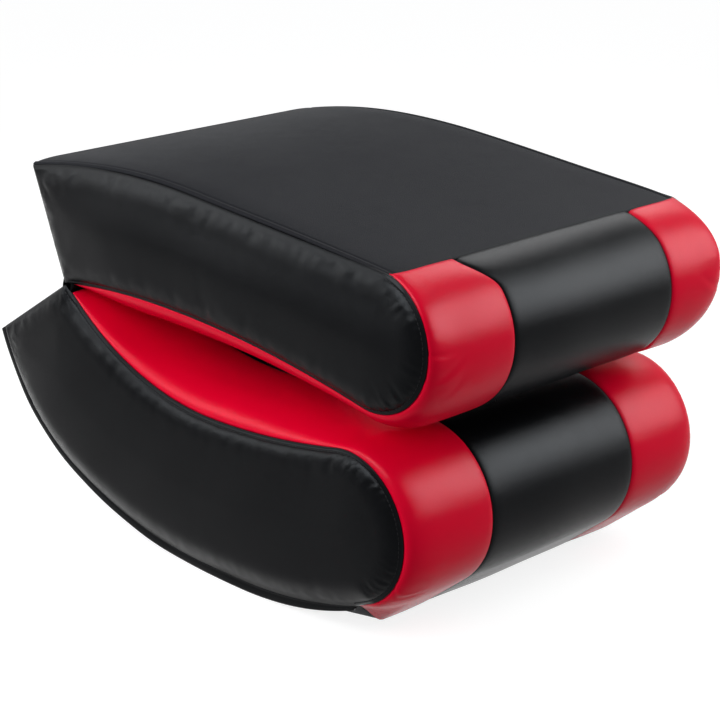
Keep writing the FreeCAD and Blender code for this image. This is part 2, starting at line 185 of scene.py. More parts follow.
def backOutline(inward):
    form = backForm
    full = crowned(inward)
    start = endPoint(form, 0)
    arch = form["arch"] + form["archCrown"] * full
    nose = form["nose"] + form["noseCrown"] * full
    radius = form["noseRadius"] + form["noseRadiusCrown"] * full
    centre, touch = dishTouch(arch, nose, radius, -1)
    brow = nose + heading(form["panelFrontAngle"]) * radius
    bow = form["crest"] + form["crestCrown"] * full - 1j * form["panelRadius"]
    leave = tangentPoint(bow, form["panelRadius"], brow)
    tail = endMeets(form, bow, form["panelRadius"])
    return [(levelArc(arch, start), start, arch), (centre, arch, touch),
            (nose, touch, nose + radius), (nose, nose + radius, brow),
            (None, brow, leave), (bow, leave, tail), (None, tail, start)]


seatForm["outline"] = seatOutline
backForm["outline"] = backOutline


def steps(piece, count, first=0.0):
    centre, start, end = piece
    share = np.linspace(first, 1, count + 1)
    if centre is None:
        return start + (end - start) * share
    ratio = (end - centre) / (start - centre)
    return centre + (start - centre) * np.exp(np.log(ratio) * share)


def lengthOf(piece):
    centre, start, end = piece
    if centre is None:
        return abs(end - start)
    return abs(start - centre) * abs(np.angle((end - centre) / (start - centre)))


def counted(form):
    counts = []
    for index, piece in enumerate(form["outline"](chair["countedAt"])):
        length = chair["noseStep"] if index in form["nosePieces"] else chair["step"]
        counts.append(max(2, round(lengthOf(piece) / length)))
    return counts


for form in (seatForm, backForm):
    form["counts"] = counted(form)
    form["face"] = slice(form["facePieces"])     # an outline's pieces by what they bound
    form["sole"] = slice(form["facePieces"], -1)
    form["end"] = slice(-1, None)


def travelled(pieces, counts, clearOfKnee=False):
    runs = []
    for index, (piece, count) in enumerate(zip(pieces, counts)):
        first = chair["kneeClear"] / lengthOf(piece) if clearOfKnee and index == 0 else 0.0
        runs.append(steps(piece, count, first)[:-1])
    return np.concatenate(runs + [np.array([pieces[-1][2]])])


def inwardNormal(piece, atEnd, side):
    centre, start, end = piece
    if centre is None:
        direction = unit(end - start)
    else:
        turn = np.sign(np.angle((end - centre) / (start - centre)))
        direction = 1j * turn * unit((end if atEnd else start) - centre)
    return -1j * side * direction


def inset(pieces, depth, side):
    moved = []
    for index, piece in enumerate(pieces):
        ends = []
        for atEnd, other in ((0, pieces[index - 1]), (1, pieces[(index + 1) % len(pieces)])):
            first = inwardNormal(piece, atEnd, side)
            second = inwardNormal(other, 1 - atEnd, side)
            ends.append(piece[1 + atEnd] + (first + second) * depth / (1 + dot(first, second)))
        moved.append((piece[0], ends[0], ends[1]))
    return moved


def nearest(points, run):
    return np.abs(points[:, None] - run[None, :]).min(axis=1)


# How much of the sides' lean is at a place: none at the sole and the end face
def leanAt(form, points):
    pieces = form["outline"](0.0)
    sole, end = (travelled(pieces[form[part]], form["counts"][form[part]])
                 for part in ("sole", "end"))
    return (easing(nearest(points, sole) / form["soleRun"])
            * easing(nearest(points, end) / chair["endRun"]))


rippling = {"waves": 8, "lengths": (0.7, 1.7)}


def ripple(points, wave, seed):
    rng = np.random.default_rng(seed)
    total = np.zeros(len(points))
    for _ in range(rippling["waves"]):
        direction = rng.normal(size=3)
        direction /= np.linalg.norm(direction)
        turns = 2 * np.pi / (wave * rng.uniform(*rippling["lengths"]))
        total += np.sin(points @ direction * turns + rng.uniform(0, 2 * np.pi))
    return total * 2 / rippling["waves"]


def gridRipple(grid, wave, seed):
    return ripple(grid.reshape(-1, 3), wave, seed).reshape(grid.shape[:2])


def bell(away, width):
    return np.exp(-(away / width) ** 2)


# Places across the width: close together at seams and where the crown turns
across = {
    "crownSteps": 14,
    "seamSteps": (0.0, 0.0007, 0.0015, 0.0026, 0.0042, 0.0065, 0.010, 0.015),
    "wide": 0.0065,
}


def onSeam(x):
    return abs(abs(x) - halfWidth) < 1e-6


def stations(low, high):
    marks = {low, high}
    inner = halfWidth - chair["crownRun"]
    for edge, way in ((low, 1), (high, -1)):
        if onSeam(edge):
            for step in range(across["crownSteps"] + 1):
                x = inner + chair["crownRun"] * math.sin(math.pi / 2 * step / across["crownSteps"])
                marks.add(math.copysign(x, edge))
        else:
            marks.update(edge + way * s for s in across["seamSteps"])
    marks = sorted(marks)
    filled = []
    for a, b in zip(marks, marks[1:]):
        count = max(1, math.ceil((b - a) / across["wide"]))
        filled.extend(a + (b - a) * k / count for k in range(count))
    return filled + [high]


def makeMesh(name, points, faces, material=None):
    mesh = bpy.data.meshes.new(name)
    mesh.from_pydata([tuple(p) for p in points], [], faces)
    mesh.validate()
    mesh.update()
    piece = bpy.data.objects.new(name, mesh)
    bpy.context.scene.collection.objects.link(piece)
    mesh.shade_smooth()
    if material:
        mesh.materials.append(material)
    return piece


def gridFaces(rows, columns, start=0, closed=False):
    faces = []
    for i in range(rows - 1):
        for j in range(columns if closed else columns - 1):
            k = (j + 1) % columns
            faces.append((start + i * columns + j, start + i * columns + k,
                          start + (i + 1) * columns + k, start + (i + 1) * columns + j))
    return faces


def place(points, x):
    return np.stack([np.full(len(points), x), -points.real, points.imag], axis=1)


def gridNormals(grid, outward):
    du = np.gradient(grid, axis=1)
    dx = np.gradient(grid, axis=0)
    normals = np.cross(du, dx)
    normals /= np.maximum(np.linalg.norm(normals, axis=2, keepdims=True), 1e-12)
    return normals * outward


def applyModifiers(piece):
    graph = bpy.context.evaluated_depsgraph_get()
    mesh = bpy.data.meshes.new_from_object(piece.evaluated_get(graph))
    mesh.name = piece.name
    piece.modifiers.clear()
    piece.data = mesh
    return piece


def thicken(piece, thickness):
    modifier = piece.modifiers.new("thickness", "SOLIDIFY")
    modifier.thickness = thickness
    modifier.offset = -1.0
    modifier.use_even_offset = False
    return applyModifiers(piece)


def gridSheet(name, form, grid, material, thickness):
    faces = gridFaces(*grid.shape[:2])
    if form["side"] < 0:
        faces = [face[::-1] for face in faces]
    return thicken(makeMesh(name, grid.reshape(-1, 3), faces, material), thickness)


# Materials
def nodeGroup(name, inputs, outputs):
    group = bpy.data.node_groups.new(name, "ShaderNodeTree")
    for label, value in inputs.items():
        kind = "NodeSocketColor" if isinstance(value, tuple) else "NodeSocketFloat"
        group.interface.new_socket(label, in_out="INPUT", socket_type=kind).default_value = value
    for label, kind in outputs.items():
        group.interface.new_socket(label, in_out="OUTPUT", socket_type=kind)
    return group, group.nodes.new("NodeGroupInput"), group.nodes.new("NodeGroupOutput")


# Each input takes a value or another node's output
def feed(tree, node, inputs):
    for label, value in inputs.items():
        if isinstance(value, (int, float, tuple)):
            node.inputs[label].default_value = value
        else:
            tree.links.new(value, node.inputs[label])


def add(tree, kind, inputs=(), **settings):
    node = tree.nodes.new(kind)
    for key, value in settings.items():
        setattr(node, key, value)
    feed(tree, node, dict(inputs))
    return node


def coordinates(tree):
    return add(tree, "ShaderNodeTexCoord").outputs["Object"]


def blendColours(tree, factor, a, b):
    return add(tree, "ShaderNodeMix", {0: factor, 6: a, 7: b}, data_type="RGBA").outputs[2]


def mathNode(tree, operation, a, b=0.0):
    return add(tree, "ShaderNodeMath", {0: a, 1: b}, operation=operation).outputs[0]


def spread(tree, value, low, high, toLow=0.0, toHigh=1.0):
    inputs = {0: value, 1: low, 2: high, 3: toLow, 4: toHigh}
    return add(tree, "ShaderNodeMapRange", inputs).outputs[0]


def noiseNode(tree, vector, scale, detail=3.0, roughness=0.5):
    inputs = {"Vector": vector, "Scale": scale, "Detail": detail, "Roughness": roughness}
    return add(tree, "ShaderNodeTexNoise", inputs).outputs["Fac"]


def vinylGrainGroup():
    group, into, out = nodeGroup("vinylGrain", {"Scale": 900.0}, {"Height": "NodeSocketFloat"})
    where = coordinates(group)
    cells = add(group, "ShaderNodeTexVoronoi", {"Vector": where, "Scale": into.outputs["Scale"]},
                feature="DISTANCE_TO_EDGE")
    pebble = spread(group, cells.outputs["Distance"], 0.0, 0.25)
    fine = noiseNode(group, where, mathNode(group, "MULTIPLY", into.outputs["Scale"], 2.3))
    height = mathNode(group, "ADD", mathNode(group, "MULTIPLY", pebble, 0.7),
                      mathNode(group, "MULTIPLY", fine, 0.5))
    feed(group, out, {"Height": height})
    return group


def handlingGroup():
    inputs = {"Colour": (0.5, 0.5, 0.5, 1.0), "Worn": (0.6, 0.6, 0.6, 1.0),
              "Amount": 0.3, "Roughness": 0.4, "Change": 0.08}
    outputs = {"Colour": "NodeSocketColor", "Roughness": "NodeSocketFloat"}
    group, into, out = nodeGroup("handling", inputs, outputs)
    where = coordinates(group)
    broad = noiseNode(group, where, 9.0, 4.0)
    smears = noiseNode(group, where, 42.0, 5.0, 0.6)
    both = mathNode(group, "MULTIPLY", spread(group, broad, 0.35, 0.7),
                    spread(group, smears, 0.3, 0.75))
    amount = mathNode(group, "MULTIPLY", both, into.outputs["Amount"])
    colour = blendColours(group, amount, into.outputs["Colour"], into.outputs["Worn"])
    change = mathNode(group, "MULTIPLY", mathNode(group, "SUBTRACT", smears, 0.5),
                      into.outputs["Change"])
    roughness = mathNode(group, "ADD", into.outputs["Roughness"], change)
    feed(group, out, {"Colour": colour, "Roughness": roughness})
    return group


grainDepth = 0.0004
grain = vinylGrainGroup()
handling = handlingGroup()


def placed(tree, group, **values):
    return add(tree, "ShaderNodeGroup", values, node_tree=group)


def blank(name):
    material = bpy.data.materials.new(name)
    material.use_nodes = True
    tree = material.node_tree
    return material, tree, tree.nodes["Principled BSDF"]


def bumped(tree, shader, height, strength, distance):
    inputs = {"Height": height, "Strength": strength, "Distance": distance}
    feed(tree, shader, {"Normal": add(tree, "ShaderNodeBump", inputs).outputs["Normal"]})


def vinyl(name, values):
    material, tree, shader = blank(name)
    surface = placed(tree, handling, Colour=values["colour"], Worn=values["worn"],
                     Amount=values["wear"], Roughness=values["roughness"],
                     Change=values["change"])
    feed(tree, shader, {"Base Color": surface.outputs["Colour"],
                        "Roughness": surface.outputs["Roughness"],
                        "Specular IOR Level": values["specular"],
                        "Specular Tint": values["tint"]})
    skin = placed(tree, grain, Scale=values["grainScale"])
    bumped(tree, shader, skin.outputs["Height"], values["grainStrength"], grainDepth)
    return material


finishes = {
    "blackVinyl": {"colour": (0.0020, 0.0020, 0.0024, 1), "worn": (0.0038, 0.0038, 0.0045, 1),
                   "wear": 0.5, "roughness": 0.25, "change": 0.05,
                   "specular": 0.054, "tint": (0.86, 0.93, 1.0, 1),
                   "grainScale": 900.0, "grainStrength": 0.22},
    "redVinyl": {"colour": (0.76, 0.0004, 0.026, 1), "worn": (0.82, 0.002, 0.034, 1),
                 "wear": 0.4, "roughness": 0.25, "change": 0.04,
                 "specular": 0.052, "tint": (1.0, 0.86, 0.96, 1),
                 "grainScale": 900.0, "grainStrength": 0.15},
    "panelVinyl": {"colour": (0.0117, 0.0123, 0.0152, 1), "worn": (0.016, 0.0168, 0.0202, 1),
                   "wear": 0.5, "roughness": 0.46, "change": 0.08,
                   "specular": 0.02, "tint": (1.0, 1.0, 1.0, 1),
                   "grainScale": 700.0, "grainStrength": 0.35},
}
blackVinyl, redVinyl, panelVinyl = (vinyl(*finish) for finish in finishes.items())


def thread(name, colour):
    material, tree, shader = blank(name)
    strands = noiseNode(tree, coordinates(tree), 2600.0, 2.0)
    paler = tuple(min(1.0, c * 2.2) for c in colour[:3]) + (1,)
    feed(tree, shader, {"Base Color": blendColours(tree, strands, colour, paler),
                        "Roughness": 0.6, "Specular IOR Level": 0.12})
    bumped(tree, shader, strands, 0.3, 0.0002)
    return material


threadBlack = thread("threadBlack", (0.006, 0.006, 0.007, 1))


# Inside: what the covers hide
def woodGrainGroup():
    inputs = {"Light": (0.7, 0.54, 0.34, 1), "Dark": (0.5, 0.34, 0.18, 1),
              "Scale": 30.0, "Stretch": 12.0}
    outputs = {"Colour": "NodeSocketColor", "Height": "NodeSocketFloat"}
    group, into, out = nodeGroup("woodGrain", inputs, outputs)
    where = coordinates(group)
    along = mathNode(group, "DIVIDE", 1.0, into.outputs["Stretch"])
    axes = add(group, "ShaderNodeCombineXYZ", {0: 1.0, 1: along, 2: 1.0})
    stretch = add(group, "ShaderNodeVectorMath", {0: where, 1: axes.outputs[0]},
                  operation="MULTIPLY")
    fibreScale = mathNode(group, "MULTIPLY", into.outputs["Scale"], 9.0)
    fibre = noiseNode(group, stretch.outputs[0], fibreScale, 6.0, 0.65)
    inputs = {"Vector": stretch.outputs[0], "Scale": into.outputs["Scale"], "Distortion": 5.0}
    rings = add(group, "ShaderNodeTexWave", inputs, wave_type="BANDS", bands_direction="Z")
    both = mathNode(group, "MULTIPLY", fibre, rings.outputs["Fac"])
    colour = blendColours(group, both, into.outputs["Light"], into.outputs["Dark"])
    feed(group, out, {"Colour": colour, "Height": both})
    return group


woodGrain = woodGrainGroup()


def wood(name, light, dark, scale, stretch):
    material, tree, shader = blank(name)
    surface = placed(tree, woodGrain, Light=light, Dark=dark, Scale=scale, Stretch=stretch)
    feed(tree, shader, {"Base Color": surface.outputs["Colour"], "Roughness": 0.62})
    bumped(tree, shader, surface.outputs["Height"], 0.25, 0.0005)
    return material


def webbing(name):
    material, tree, shader = blank(name)
    where = coordinates(tree)
    ribs, picks = (add(tree, "ShaderNodeTexWave", {"Vector": where, "Scale": 110.0},
                       wave_type="BANDS", bands_direction=way) for way in "XY")
    weave = mathNode(tree, "MULTIPLY", ribs.outputs["Fac"], picks.outputs["Fac"])
    shade = blendColours(tree, weave, (0.02, 0.02, 0.02, 1), (0.07, 0.07, 0.07, 1))
    feed(tree, shader, {"Base Color": shade, "Roughness": 0.85})
    bumped(tree, shader, weave, 0.5, 0.0006)
    return material


def zinc(name):
    material, tree, shader = blank(name)
    spangle = add(tree, "ShaderNodeTexVoronoi", {"Vector": coordinates(tree), "Scale": 260.0})
    spots = spangle.outputs["Distance"]
    shade = blendColours(tree, spots, (0.52, 0.52, 0.50, 1), (0.68, 0.68, 0.66, 1))
    feed(tree, shader, {"Metallic": 1.0, "Base Color": shade,
                        "Roughness": spread(tree, spots, 0.0, 1.0, 0.32, 0.48)})
    return material


insides = {
    "plywood": wood("birchPly", (0.66, 0.50, 0.31, 1), (0.46, 0.31, 0.16, 1), 26.0, 9.0),
    "pine": wood("pineRail", (0.74, 0.58, 0.37, 1), (0.52, 0.34, 0.17, 1), 18.0, 14.0),
    "hardboard": wood("hardboard", (0.33, 0.20, 0.10, 1), (0.22, 0.12, 0.06, 1), 90.0, 1.5),
    "webbing": webbing("strapWebbing"),
    "zinc_steel": zinc("zincPlate"),
}
for part in frame["record"]["subparts"]:
    if part["material_slot"] in insides:
        node = frame["nodes"][part["node"]]
        node.data.materials.clear()
        node.data.materials.append(insides[part["material_slot"]])
print("vinyls ready")


# Face strips: crowned lengths of cover from the knee over the face and round the nose
strip = {
    "seamDepth": 0.0016, "seamWidth": 0.0024,  # the pinch where two strips are sewn
    "swingRun": 0.045,   # over this much beside the strip's front end
    "sidePinch": 0.5,    # the share of it at a side seam
    "puff": 0.0012,      # how much a strip swells between its seams
    "puffPower": 0.7,
    "calmRun": 0.02,     # and no waves beside them
    "wave": 0.11, "waveHeight": 0.0005, "seed": 5,
    "skin": 0.0012,
}


# Gathers: little folds that run in from a side seam where it goes round a nose
gathers = {
    "pitch": (0.006, 0.0115), "depth": (0.0004, 0.0011), "length": (0.005, 0.012),
    "width": (0.0012, 0.0021), "skew": 0.5,
    "before": 0.05, "beyond": 0.005,  # they start before the nose and end past it
    "weakest": 0.35, "endSooner": 1.05, "fullness": 0.6,  # their strength round the nose
    "ridge": 0.4, "ridgeAt": 2.1, "ridgeWidth": 1.2,  # beside each fold, as shares of its width
    "fade": 1.3, "seamRun": 0.0012,
    "faceShare": 0.22,   # how much of it shows on the face side of the seam
}


def gatherList(form, seed):
    rng = np.random.default_rng(seed)
    pieces = form["outline"](0.0)
    before = sum(lengthOf(piece) for piece in pieces[:form["nosePieces"][0]])
    nose = sum(lengthOf(pieces[index]) for index in form["nosePieces"])
    found = []
    first = before - gathers["before"]
    last = before + nose + gathers["beyond"]
    along = first
    while along < last:
        share = np.clip((along - first) / (last - first), 0, 1)
        turn = math.pi * min(1.0, share * gathers["endSooner"])
        middling = math.sin(turn) ** gathers["fullness"]
        strength = gathers["weakest"] + (1 - gathers["weakest"]) * middling
        found.append((along, strength * rng.uniform(*gathers["depth"]),
                      rng.uniform(*gathers["length"]), rng.uniform(*gathers["width"]),
                      rng.uniform(-1, 1) * gathers["skew"]))
        along += rng.uniform(*gathers["pitch"])
    return found


def gatherHeight(found, along, depth):
    total = np.zeros(np.broadcast(along, depth).shape)
    for place, height, length, width, skew in found:
        near = (along - place - skew * depth) / (width * (1 + depth / length))
        ridge = gathers["ridge"] * bell(np.abs(near) - gathers["ridgeAt"], gathers["ridgeWidth"])
        shape = ridge - bell(near, 1)
        total += height * shape * np.exp(-(depth / length) ** gathers["fade"])
    return total * (1 - np.exp(-depth / gathers["seamRun"]))


def alongOutline(points):
    return np.concatenate([[0.0], np.cumsum(np.abs(np.diff(points)))])


def seamGathers(form, grid, xs):
    total = np.zeros(grid.shape[:2])
    for side, row in ((-1, 0), (1, -1)):
        if not onSeam(xs[row]):
            continue
        edge = grid[row]
        distance = halfWidth - side * xs
        along = alongOutline(-edge[:, 1] + 1j * edge[:, 2]) + chair["kneeClear"]
        found = gatherList(form, form["seeds"][side])
        total += gathers["faceShare"] * gatherHeight(found, along[None, :], distance[:, None])
    return total


# Creases: (form, which side, how far along the outline from the knee, distance from the seam,
# height, length, width, lean)
creases = (
    ("back", -1, 0.585, 0.016, -0.0010, 0.020, 0.0022, 0.9),
    ("back", -1, 0.572, 0.027, -0.0007, 0.014, 0.0020, 0.6),
    ("back", -1, 0.600, 0.008, -0.0009, 0.012, 0.0018, 1.3),
    ("back", 1, 0.590, 0.014, -0.0008, 0.016, 0.0022, 0.8),
    ("seat", -1, 0.640, 0.012, -0.0009, 0.016, 0.0020, 1.0),
    ("seat", 1, 0.650, 0.016, -0.0008, 0.018, 0.0022, 0.9),
)
creaseRidge = {"height": 0.6, "at": 2.2}  # beside each, as shares of its height and width


def creaseHeight(form, grid, xs):
    total = np.zeros(grid.shape[:2])
    for half, side, place, fromSeam, height, length, width, lean in creases:
        row = 0 if side < 0 else -1
        if form["half"] != half or not onSeam(xs[row]):
            continue
        edge = grid[row]
        along = alongOutline(-edge[:, 1] + 1j * edge[:, 2])[None, :] + chair["kneeClear"] - place
        over = (halfWidth - side * xs)[:, None] - fromSeam
        run = along * math.cos(lean) + over * math.sin(lean)
        away = over * math.cos(lean) - along * math.sin(lean)
        ridge = creaseRidge["height"] * bell(away - creaseRidge["at"] * width, width)
        total += height * bell(run, length) * (bell(away, width) - ridge)
    return total


def seamPinch(distance):
    return -strip["seamDepth"] * np.exp(-distance / strip["seamWidth"])


# Near the panel the band seams swing toward the left side
def seamSwing(form, x):
    marks = (-halfWidth, form["bands"][0], form["bands"][1], halfWidth)
    return float(np.interp(x, marks, (0.0,) + form["swing"] + (0.0,)))


def faceStrip(name, form, low, high, material):
    counts = form["counts"][form["face"]]
    marks = stations(low, high)
    rows = []
    for x in marks:
        points = travelled(form["outline"](halfWidth - abs(x))[form["face"]], counts, True)
        beyond = max(0.0, abs(x) - (halfWidth - chair["crownRun"])) / chair["crownRun"]
        lean = leanAt(form, points) * beyond ** 2
        row = place(points + chair["swellShift"] * lean, x)
        row[:, 0] += math.copysign(chair["swell"], x) * lean
        left = sum(counts) - np.arange(len(points))
        row[:, 0] += seamSwing(form, x) * easing(1 - left * chair["noseStep"] / strip["swingRun"])
        rows.append(row)
    grid = np.stack(rows)
    normals = gridNormals(grid, form["side"])
    xs = np.array(marks)
    toLow, toHigh = xs - low, high - xs
    push = strip["puff"] * np.sin(np.pi * toLow / (high - low)) ** strip["puffPower"]
    for edge, distance in ((low, toLow), (high, toHigh)):
        push = push + seamPinch(distance) * (strip["sidePinch"] if onSeam(edge) else 1.0)
    calm = np.minimum(1, np.minimum(toLow, toHigh) / strip["calmRun"])
    waves = gridRipple(grid, strip["wave"], strip["seed"])
    push = push[:, None] + waves * strip["waveHeight"] * calm[:, None]
    push = push + seamGathers(form, grid, xs) + creaseHeight(form, grid, xs)
    return gridSheet(name, form, grid + normals * push[:, :, None], material, strip["skin"])


faceStrips = {}
for form, half in ((seatForm, "seat"), (backForm, "back")):
    left, right = form["bands"]
    for word, low, high, material in (("RedLeft", -halfWidth, left, redVinyl),
                                      ("BlackCentre", left, right, blackVinyl),
                                      ("RedRight", right, halfWidth, redVinyl)):
        faceStrips[half + word] = faceStrip(half + word, form, low, high, material)
print("face strips made")


# Side covers: a sewn lip along the face's seam, a stitched groove, then the swell of the pad
sideCover = {
    "depths": (0, 0.0006, 0.0013, 0.0021, 0.0028, 0.0034, 0.0039, 0.0044, 0.0052, 0.0064, 0.0080,
               0.0100, 0.0124, 0.0152, 0.0184, 0.022, 0.026, 0.0305),
    "lip": 0.0037, "lipRise": 0.0008, "grooveDepth": 0.0010, "grooveWidth": 0.0008, "lipFade": 0.03,
    "swellStart": 0.6, "gatherStart": 0.8,       # as shares of the lip
    "bulge": 0.0090, "run": 0.029, "dome": 0.0028, "domeRun": 0.035,
    "wave": 0.12, "waveHeight": 0.0007,
    "gridStep": 0.006, "slackRun": 0.004, "waveRun": 0.03, "skin": 0.0012,
}


def sideHeight(depth, lipShare):
    values = sideCover
    start = values["lip"] * values["swellStart"] * lipShare
    past = np.clip((depth - start) / values["run"], 0, 1)
    swell = values["bulge"] * np.sqrt(np.maximum(0, 1 - (1 - past) ** 2))
    lip = values["lipRise"] * bell(depth - values["lip"] / 2, values["lip"] / 3)
    groove = values["grooveDepth"] * bell(depth - values["lip"], values["grooveWidth"])
    dome = values["dome"] * (1 - np.exp(-np.maximum(depth - values["run"], 0) / values["domeRun"]))
    return swell + (lip - groove) * lipShare + dome


def turnedOut(points, faces, side):
    turned = []
    for face in faces:
        a, b, c = (points[i] for i in face[:3])
        turned.append(face if np.cross(b - a, c - a)[0] * side > 0 else tuple(face)[::-1])
    return turned


# The slack in a side cover: a flat sheet, held along its stitches, is blown out by its pad
slack = {
    "mesh": 0.0055, "cutLarger": 0.010, "pressure": 4.0, "frames": 20, "tension": 14.0,
    "bending": 0.8, "quality": 6, "mass": 0.25,
    "cap": 0.0021, "unevenness": 0.0004, "seedShift": 50,
}


lattice = {"rowHeight": 0.866, "fromRing": 0.6}  # as shares of the step


def insidePoints(ring, step):
    found = []
    rows = np.arange(ring.imag.min(), ring.imag.max(), step * lattice["rowHeight"])
    for r, up in enumerate(rows):
        for forward in np.arange(ring.real.min() + (r % 2) * step / 2, ring.real.max(), step):
            point = complex(forward, up)
            turns = np.angle((np.roll(ring, -1) - point) / (ring - point)).sum()
            gap = np.abs(ring - point).min()
            if gap > step * lattice["fromRing"] and abs(turns) > math.pi:
                found.append(point)
    return np.array(found)


def finderOf(places):
    finder = KDTree(len(places))
    for index, at in enumerate(places):
        finder.insert(at, index)
    finder.balance()
    return finder


def trianglesIn(ring, inside):
    coords = [Vector((p.real, p.imag)) for p in np.concatenate([ring, inside])]
    return delaunay_2d_cdt(coords, [], [list(range(len(ring)))], 1, 1e-6)[2]


def blownOut(form, side):
    outline = inset(form["outline"](0.0), sideCover["lip"], form["side"])
    counts = [max(2, round(lengthOf(piece) / slack["mesh"])) for piece in outline]
    ring = travelled(outline, counts)[:-1]
    inside = insidePoints(ring, slack["mesh"])
    flat = np.concatenate([ring, inside])
    rng = np.random.default_rng(form["seeds"][side] + slack["seedShift"])
    start = place(flat, 0.0)
    start[len(ring):, 0] += rng.normal(size=len(inside)) * slack["unevenness"]
    faces = turnedOut(start, trianglesIn(ring, inside), side)
    sheet = makeMesh("slackSheet", start, faces)
    sheet.vertex_groups.new(name="sewn").add(list(range(len(ring))), 1.0, "REPLACE")
    cloth = sheet.modifiers.new("cloth", "CLOTH")
    settings = cloth.settings
    settings.quality = slack["quality"]
    settings.mass = slack["mass"]
    settings.tension_stiffness = settings.compression_stiffness = slack["tension"]
    settings.bending_stiffness = slack["bending"]
    settings.vertex_group_mass = "sewn"
    settings.shrink_min = -slack["cutLarger"]
    settings.use_pressure = True
    settings.uniform_pressure_force = slack["pressure"]
    settings.effector_weights.gravity = 0.0
    cloth.collision_settings.use_collision = False
    scene = bpy.context.scene
    for frameNumber in range(1, slack["frames"] + 1):
        scene.frame_set(frameNumber)
    evaluated = sheet.evaluated_get(bpy.context.evaluated_depsgraph_get())
    ended = np.array([vertex.co[:] for vertex in evaluated.data.vertices])
    bpy.data.objects.remove(sheet)
    scene.frame_set(1)
    rise = side * ended[:, 0]
    print("   slack of", form["seeds"][side], "rises", round(float(rise.max()) * 1000, 1), "mm")
    finder = finderOf([(point.real, point.imag, 0.0) for point in flat])
    return finder, slack["cap"] * np.tanh(rise / slack["cap"])


def slackAt(field, points):
    if field is None:
        return np.zeros(len(points))
    finder, rise = field
    found = []
    for point in points:
        near = finder.find_n((point.real, point.imag, 0.0), 4)
        weights = [1 / (distance ** 2 + 1e-7) for _, _, distance in near]
        found.append(sum(rise[index] * w for (_, index, _), w in zip(near, weights)) / sum(weights))
    return np.array(found)


def makeSide(name, form, side, material):
    values = sideCover
    outline = form["outline"](0.0)
    rings = [travelled(inset(outline, depth, form["side"]), form["counts"])[:-1]
             for depth in values["depths"]]
    count = len(rings[0])
    along = alongOutline(np.append(rings[0], rings[0][0]))[:-1]
    faceLength = sum(lengthOf(piece) for piece in outline[form["face"]])
    lipShare = easing(along / values["lipFade"]) * easing((faceLength - along) / values["lipFade"])
    found = gatherList(form, form["seeds"][side])
    flat = np.concatenate(rings)
    depths = np.repeat(values["depths"], count)
    heights = sideHeight(depths, np.tile(lipShare, len(rings)))
    past = np.maximum(depths - values["lip"] * values["gatherStart"], 0)
    heights = heights + gatherHeight(found, np.tile(along, len(rings)), past)
    faces = gridFaces(len(rings), count, closed=True)
    inner = rings[-1]
    inside = insidePoints(inner, values["gridStep"])
    start = len(flat) - count
    faces.extend(tuple(start + v for v in face) for face in trianglesIn(inner, inside))
    flat = np.concatenate([flat, inside])
    gaps = values["depths"][-1] + nearest(inside, inner)
    heights = np.concatenate([heights, sideHeight(gaps, 0.0)])
    depths = np.concatenate([depths, gaps])
    field = blownOut(form, side)
    heights = heights + slackAt(field, flat) * easing((depths - values["lip"]) / values["slackRun"])
    lean = leanAt(form, flat)
    points = place(flat + chair["swellShift"] * lean, 0.0)
    waves = ripple(points, values["wave"], form["seeds"][side])
    heights = heights + waves * values["waveHeight"] * easing(depths / values["waveRun"])
    points[:, 0] = side * (halfWidth + chair["swell"] * lean + heights)
    piece = makeMesh(name, points, turnedOut(points, faces, side), material)
    return thicken(piece, values["skin"])


sideCovers = {}
for form, half in ((seatForm, "seat"), (backForm, "back")):
    for side, word in ((-1, "Left"), (1, "Right")):
        sideCovers[half + word] = makeSide(half + "Side" + word, form, side, blackVinyl)
print("side covers made")


# Soles and ends: the rocker's base, the panel over the back, and the faces that meet when it opens
sole = {
    # stitched side edges
    "hem": 0.0062, "hemRise": 0.0010, "hemRiseWidth": 0.0026, "hemGroove": 0.0011,
    "hemWidth": 0.0011,
    "hemSteps": (0.0, 0.0012, 0.0028, 0.0042, 0.0052, 0.0062, 0.0072, 0.0084, 0.010),
    "hemGap": 0.0005,     # the nearest other place to the hem's
    "overhang": 0.0012, "overhangPower": 40, "endPower": 0.35, "skin": 0.0014,
    "tipReach": 0.0035, "tipDrop": 0.0025, "tipRun": 0.022,
    "wave": 0.16, "waveHeight": 0.0008,
    "endSag": 0.0012, "sagRun": 0.03,
}


